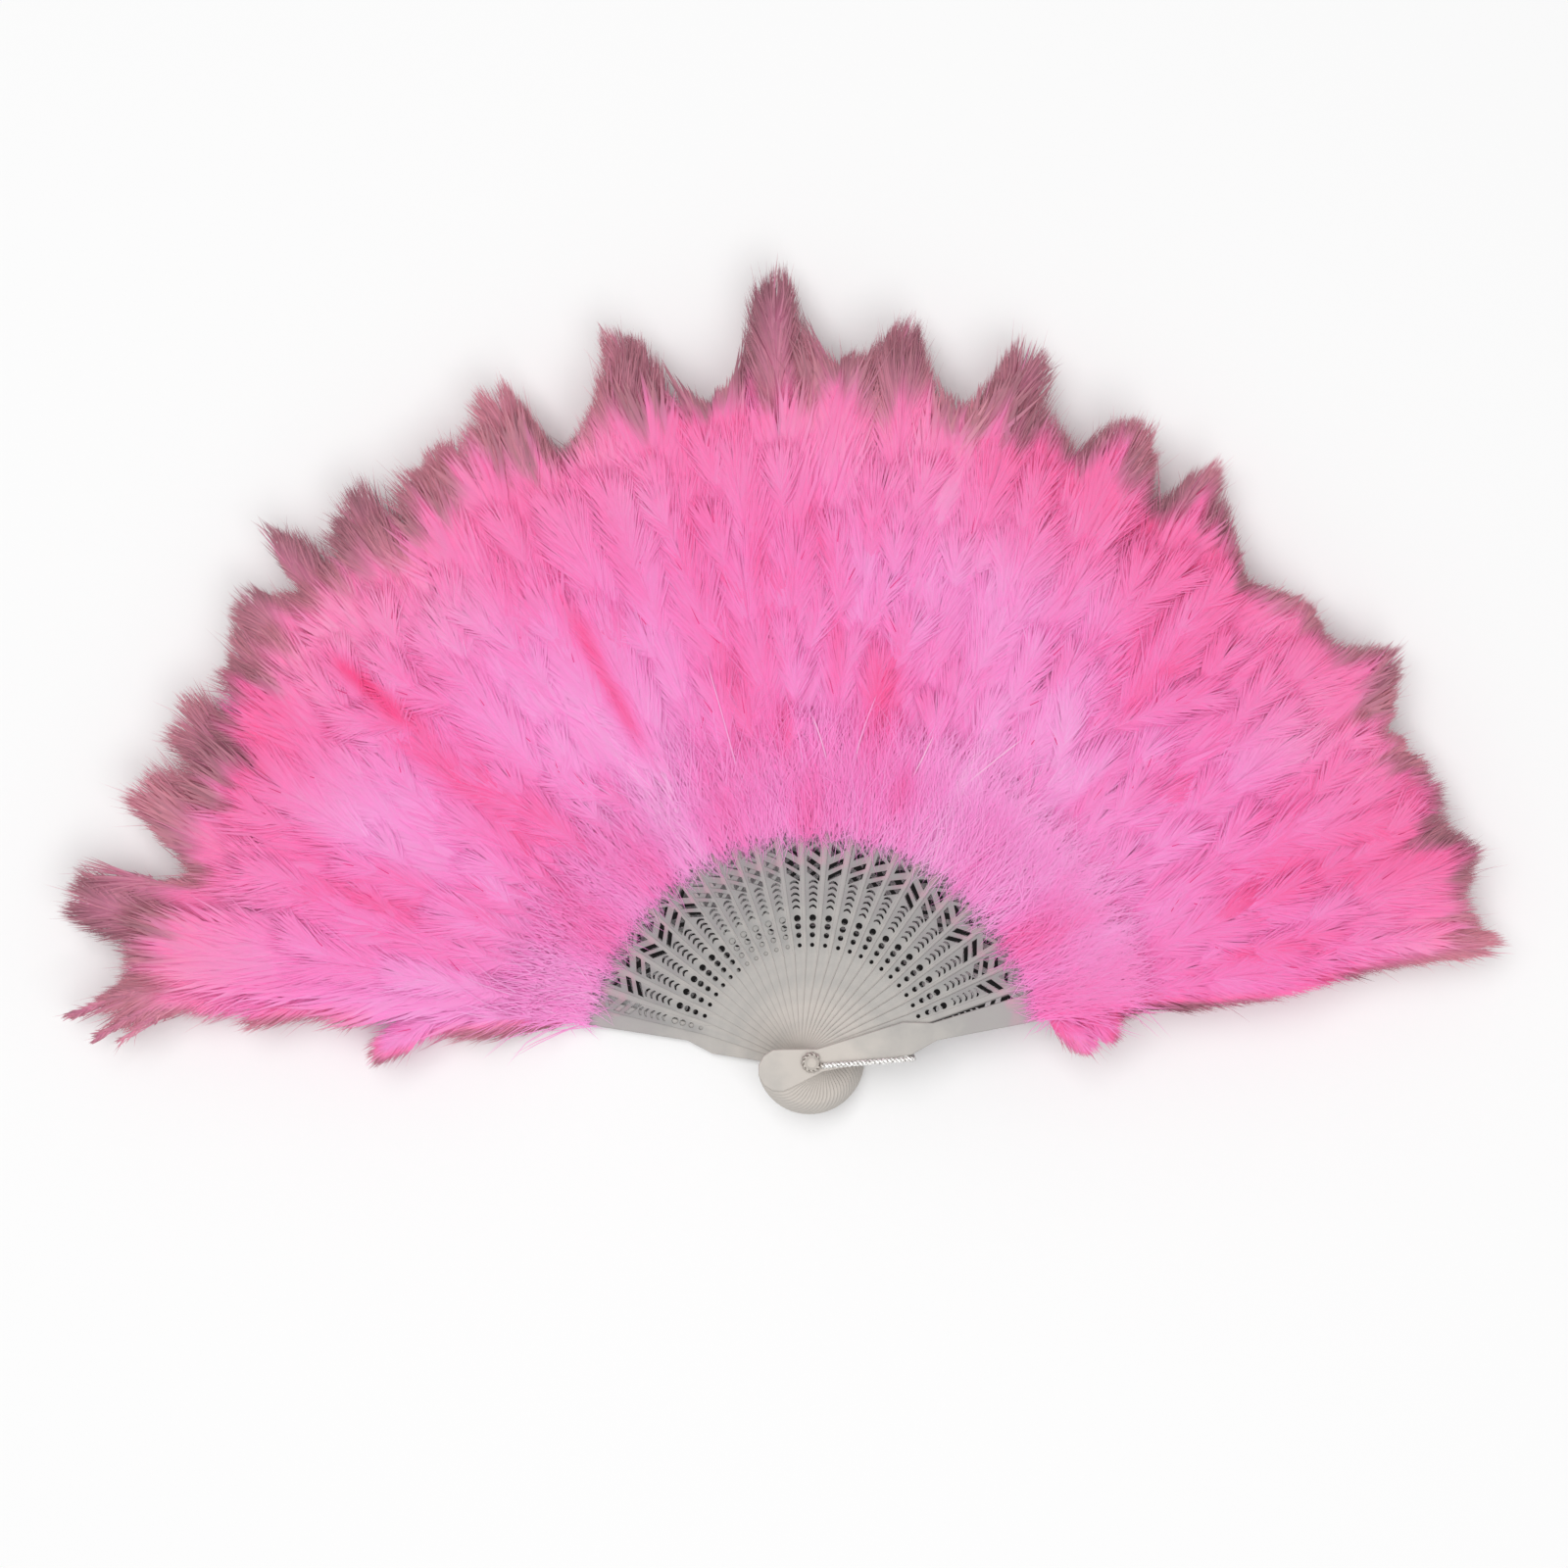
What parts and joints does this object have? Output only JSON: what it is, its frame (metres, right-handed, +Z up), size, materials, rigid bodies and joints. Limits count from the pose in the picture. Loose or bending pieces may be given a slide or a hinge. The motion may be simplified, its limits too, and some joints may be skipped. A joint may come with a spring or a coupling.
{
  "type": "feather folding hand fan",
  "caption": "Folding hand fan lying open: pierced translucent plastic sticks on one rivet, a wire bail, and a soft feather plume round each stick's tip.",
  "frame": {"origin": "on the rivet's axis, at the lower face of the rivet, which is level with the table", "axes": "+X to the right along the open fan, +Y towards the middle plumes, +Z up along the rivet"},
  "size_m": [0.5122, 0.3042, 0.0347],
  "materials": {
    "stick_plastic": "thin milky translucent moulded plastic, satin gloss",
    "guard_plastic": "milky moulded plastic, satin gloss",
    "feather": "dyed pink marabou, loose downy barbs with duller rose tips",
    "rivet_metal": "pale plated",
    "bail_metal": "bright twisted wire"
  },
  "bodies": {
    "back_stick": {"back_guard": "guard_plastic", "back_guard_plume": "feather", "rivet": "rivet_metal"},
    "leaf_01": {"stick_01": "stick_plastic", "plume_01": "feather"},
    "leaf_02": {"stick_02": "stick_plastic", "plume_02": "feather"},
    "leaf_03": {"stick_03": "stick_plastic", "plume_03": "feather"},
    "leaf_04": {"stick_04": "stick_plastic", "plume_04": "feather"},
    "leaf_05": {"stick_05": "stick_plastic", "plume_05": "feather"},
    "leaf_06": {"stick_06": "stick_plastic", "plume_06": "feather"},
    "leaf_07": {"stick_07": "stick_plastic", "plume_07": "feather"},
    "leaf_08": {"stick_08": "stick_plastic", "plume_08": "feather"},
    "leaf_09": {"stick_09": "stick_plastic", "plume_09": "feather"},
    "leaf_10": {"stick_10": "stick_plastic", "plume_10": "feather"},
    "leaf_11": {"stick_11": "stick_plastic", "plume_11": "feather"},
    "leaf_12": {"stick_12": "stick_plastic", "plume_12": "feather"},
    "leaf_13": {"stick_13": "stick_plastic", "plume_13": "feather"},
    "leaf_14": {"stick_14": "stick_plastic", "plume_14": "feather"},
    "leaf_15": {"stick_15": "stick_plastic", "plume_15": "feather"},
    "leaf_16": {"stick_16": "stick_plastic", "plume_16": "feather"},
    "leaf_17": {"stick_17": "stick_plastic", "plume_17": "feather"},
    "leaf_18": {"stick_18": "stick_plastic", "plume_18": "feather"},
    "leaf_19": {"stick_19": "stick_plastic", "plume_19": "feather"},
    "leaf_20": {"stick_20": "stick_plastic", "plume_20": "feather"},
    "leaf_21": {"stick_21": "stick_plastic", "plume_21": "feather"},
    "leaf_22": {"stick_22": "stick_plastic", "plume_22": "feather"},
    "leaf_23": {"stick_23": "stick_plastic", "plume_23": "feather"},
    "leaf_24": {"stick_24": "stick_plastic", "plume_24": "feather"},
    "leaf_25": {"stick_25": "stick_plastic", "plume_25": "feather"},
    "front_stick": {"front_guard": "guard_plastic", "front_guard_plume": "feather"},
    "bail_loop": {"bail": "bail_metal"}
  },
  "joints": [
    {"name": "fan_close", "type": "hinge", "parent": "back_stick", "child": "front_stick", "pos_m": [0, 0, 0], "axis": [0, 0, 1], "range_deg": [0, 154], "deforming": ["back_guard_plume", "plume_01", "plume_02", "plume_03", "plume_04", "plume_05", "plume_06", "plume_07", "plume_08", "plume_09", "plume_10", "plume_11", "plume_12", "plume_13", "plume_14", "plume_15", "plume_16", "plume_17", "plume_18", "plume_19", "plume_20", "plume_21", "plume_22", "plume_23", "plume_24", "plume_25", "front_guard_plume"]},
    {"name": "leaf_01_turn", "type": "hinge", "parent": "back_stick", "child": "leaf_01", "pos_m": [0, 0, 0], "axis": [0, 0, 1], "range_deg": [0, 6.55]},
    {"name": "leaf_02_turn", "type": "hinge", "parent": "back_stick", "child": "leaf_02", "pos_m": [0, 0, 0], "axis": [0, 0, 1], "range_deg": [0, 12.99]},
    {"name": "leaf_03_turn", "type": "hinge", "parent": "back_stick", "child": "leaf_03", "pos_m": [0, 0, 0], "axis": [0, 0, 1], "range_deg": [0, 19.26]},
    {"name": "leaf_04_turn", "type": "hinge", "parent": "back_stick", "child": "leaf_04", "pos_m": [0, 0, 0], "axis": [0, 0, 1], "range_deg": [0, 25.31]},
    {"name": "leaf_05_turn", "type": "hinge", "parent": "back_stick", "child": "leaf_05", "pos_m": [0, 0, 0], "axis": [0, 0, 1], "range_deg": [0, 31.12]},
    {"name": "leaf_06_turn", "type": "hinge", "parent": "back_stick", "child": "leaf_06", "pos_m": [0, 0, 0], "axis": [0, 0, 1], "range_deg": [0, 36.7]},
    {"name": "leaf_07_turn", "type": "hinge", "parent": "back_stick", "child": "leaf_07", "pos_m": [0, 0, 0], "axis": [0, 0, 1], "range_deg": [0, 42.12]},
    {"name": "leaf_08_turn", "type": "hinge", "parent": "back_stick", "child": "leaf_08", "pos_m": [0, 0, 0], "axis": [0, 0, 1], "range_deg": [0, 47.44]},
    {"name": "leaf_09_turn", "type": "hinge", "parent": "back_stick", "child": "leaf_09", "pos_m": [0, 0, 0], "axis": [0, 0, 1], "range_deg": [0, 52.75]},
    {"name": "leaf_10_turn", "type": "hinge", "parent": "back_stick", "child": "leaf_10", "pos_m": [0, 0, 0], "axis": [0, 0, 1], "range_deg": [0, 58.15]},
    {"name": "leaf_11_turn", "type": "hinge", "parent": "back_stick", "child": "leaf_11", "pos_m": [0, 0, 0], "axis": [0, 0, 1], "range_deg": [0, 63.71]},
    {"name": "leaf_12_turn", "type": "hinge", "parent": "back_stick", "child": "leaf_12", "pos_m": [0, 0, 0], "axis": [0, 0, 1], "range_deg": [0, 69.49]},
    {"name": "leaf_13_turn", "type": "hinge", "parent": "back_stick", "child": "leaf_13", "pos_m": [0, 0, 0], "axis": [0, 0, 1], "range_deg": [0, 75.52]},
    {"name": "leaf_14_turn", "type": "hinge", "parent": "back_stick", "child": "leaf_14", "pos_m": [0, 0, 0], "axis": [0, 0, 1], "range_deg": [0, 81.76]},
    {"name": "leaf_15_turn", "type": "hinge", "parent": "back_stick", "child": "leaf_15", "pos_m": [0, 0, 0], "axis": [0, 0, 1], "range_deg": [0, 88.18]},
    {"name": "leaf_16_turn", "type": "hinge", "parent": "back_stick", "child": "leaf_16", "pos_m": [0, 0, 0], "axis": [0, 0, 1], "range_deg": [0, 94.71]},
    {"name": "leaf_17_turn", "type": "hinge", "parent": "back_stick", "child": "leaf_17", "pos_m": [0, 0, 0], "axis": [0, 0, 1], "range_deg": [0, 100.71]},
    {"name": "leaf_18_turn", "type": "hinge", "parent": "back_stick", "child": "leaf_18", "pos_m": [0, 0, 0], "axis": [0, 0, 1], "range_deg": [0, 106.63]},
    {"name": "leaf_19_turn", "type": "hinge", "parent": "back_stick", "child": "leaf_19", "pos_m": [0, 0, 0], "axis": [0, 0, 1], "range_deg": [0, 112.55]},
    {"name": "leaf_20_turn", "type": "hinge", "parent": "back_stick", "child": "leaf_20", "pos_m": [0, 0, 0], "axis": [0, 0, 1], "range_deg": [0, 118.48]},
    {"name": "leaf_21_turn", "type": "hinge", "parent": "back_stick", "child": "leaf_21", "pos_m": [0, 0, 0], "axis": [0, 0, 1], "range_deg": [0, 124.4]},
    {"name": "leaf_22_turn", "type": "hinge", "parent": "back_stick", "child": "leaf_22", "pos_m": [0, 0, 0], "axis": [0, 0, 1], "range_deg": [0, 130.32]},
    {"name": "leaf_23_turn", "type": "hinge", "parent": "back_stick", "child": "leaf_23", "pos_m": [0, 0, 0], "axis": [0, 0, 1], "range_deg": [0, 136.25]},
    {"name": "leaf_24_turn", "type": "hinge", "parent": "back_stick", "child": "leaf_24", "pos_m": [0, 0, 0], "axis": [0, 0, 1], "range_deg": [0, 142.17]},
    {"name": "leaf_25_turn", "type": "hinge", "parent": "back_stick", "child": "leaf_25", "pos_m": [0, 0, 0], "axis": [0, 0, 1], "range_deg": [0, 148.09]},
    {"name": "bail_swing", "type": "hinge", "parent": "back_stick", "child": "bail_loop", "pos_m": [0, 0, 0], "axis": [0, 0, 1], "range_deg": [-176, 0]}
  ],
  "couplings": [
    {"joint": "leaf_01_turn", "follows": "fan_close", "ratio": 0.04241},
    {"joint": "leaf_02_turn", "follows": "fan_close", "ratio": 0.08423},
    {"joint": "leaf_03_turn", "follows": "fan_close", "ratio": 0.12495},
    {"joint": "leaf_04_turn", "follows": "fan_close", "ratio": 0.16424},
    {"joint": "leaf_05_turn", "follows": "fan_close", "ratio": 0.20196},
    {"joint": "leaf_06_turn", "follows": "fan_close", "ratio": 0.23824},
    {"joint": "leaf_07_turn", "follows": "fan_close", "ratio": 0.2734},
    {"joint": "leaf_08_turn", "follows": "fan_close", "ratio": 0.30794},
    {"joint": "leaf_09_turn", "follows": "fan_close", "ratio": 0.34243},
    {"joint": "leaf_10_turn", "follows": "fan_close", "ratio": 0.37749},
    {"joint": "leaf_11_turn", "follows": "fan_close", "ratio": 0.41361},
    {"joint": "leaf_12_turn", "follows": "fan_close", "ratio": 0.45116},
    {"joint": "leaf_13_turn", "follows": "fan_close", "ratio": 0.49026},
    {"joint": "leaf_14_turn", "follows": "fan_close", "ratio": 0.53082},
    {"joint": "leaf_15_turn", "follows": "fan_close", "ratio": 0.57253},
    {"joint": "leaf_16_turn", "follows": "fan_close", "ratio": 0.6149},
    {"joint": "leaf_17_turn", "follows": "fan_close", "ratio": 0.65385},
    {"joint": "leaf_18_turn", "follows": "fan_close", "ratio": 0.69231},
    {"joint": "leaf_19_turn", "follows": "fan_close", "ratio": 0.73077},
    {"joint": "leaf_20_turn", "follows": "fan_close", "ratio": 0.76923},
    {"joint": "leaf_21_turn", "follows": "fan_close", "ratio": 0.80769},
    {"joint": "leaf_22_turn", "follows": "fan_close", "ratio": 0.84615},
    {"joint": "leaf_23_turn", "follows": "fan_close", "ratio": 0.88462},
    {"joint": "leaf_24_turn", "follows": "fan_close", "ratio": 0.92308},
    {"joint": "leaf_25_turn", "follows": "fan_close", "ratio": 0.96154}
  ]
}
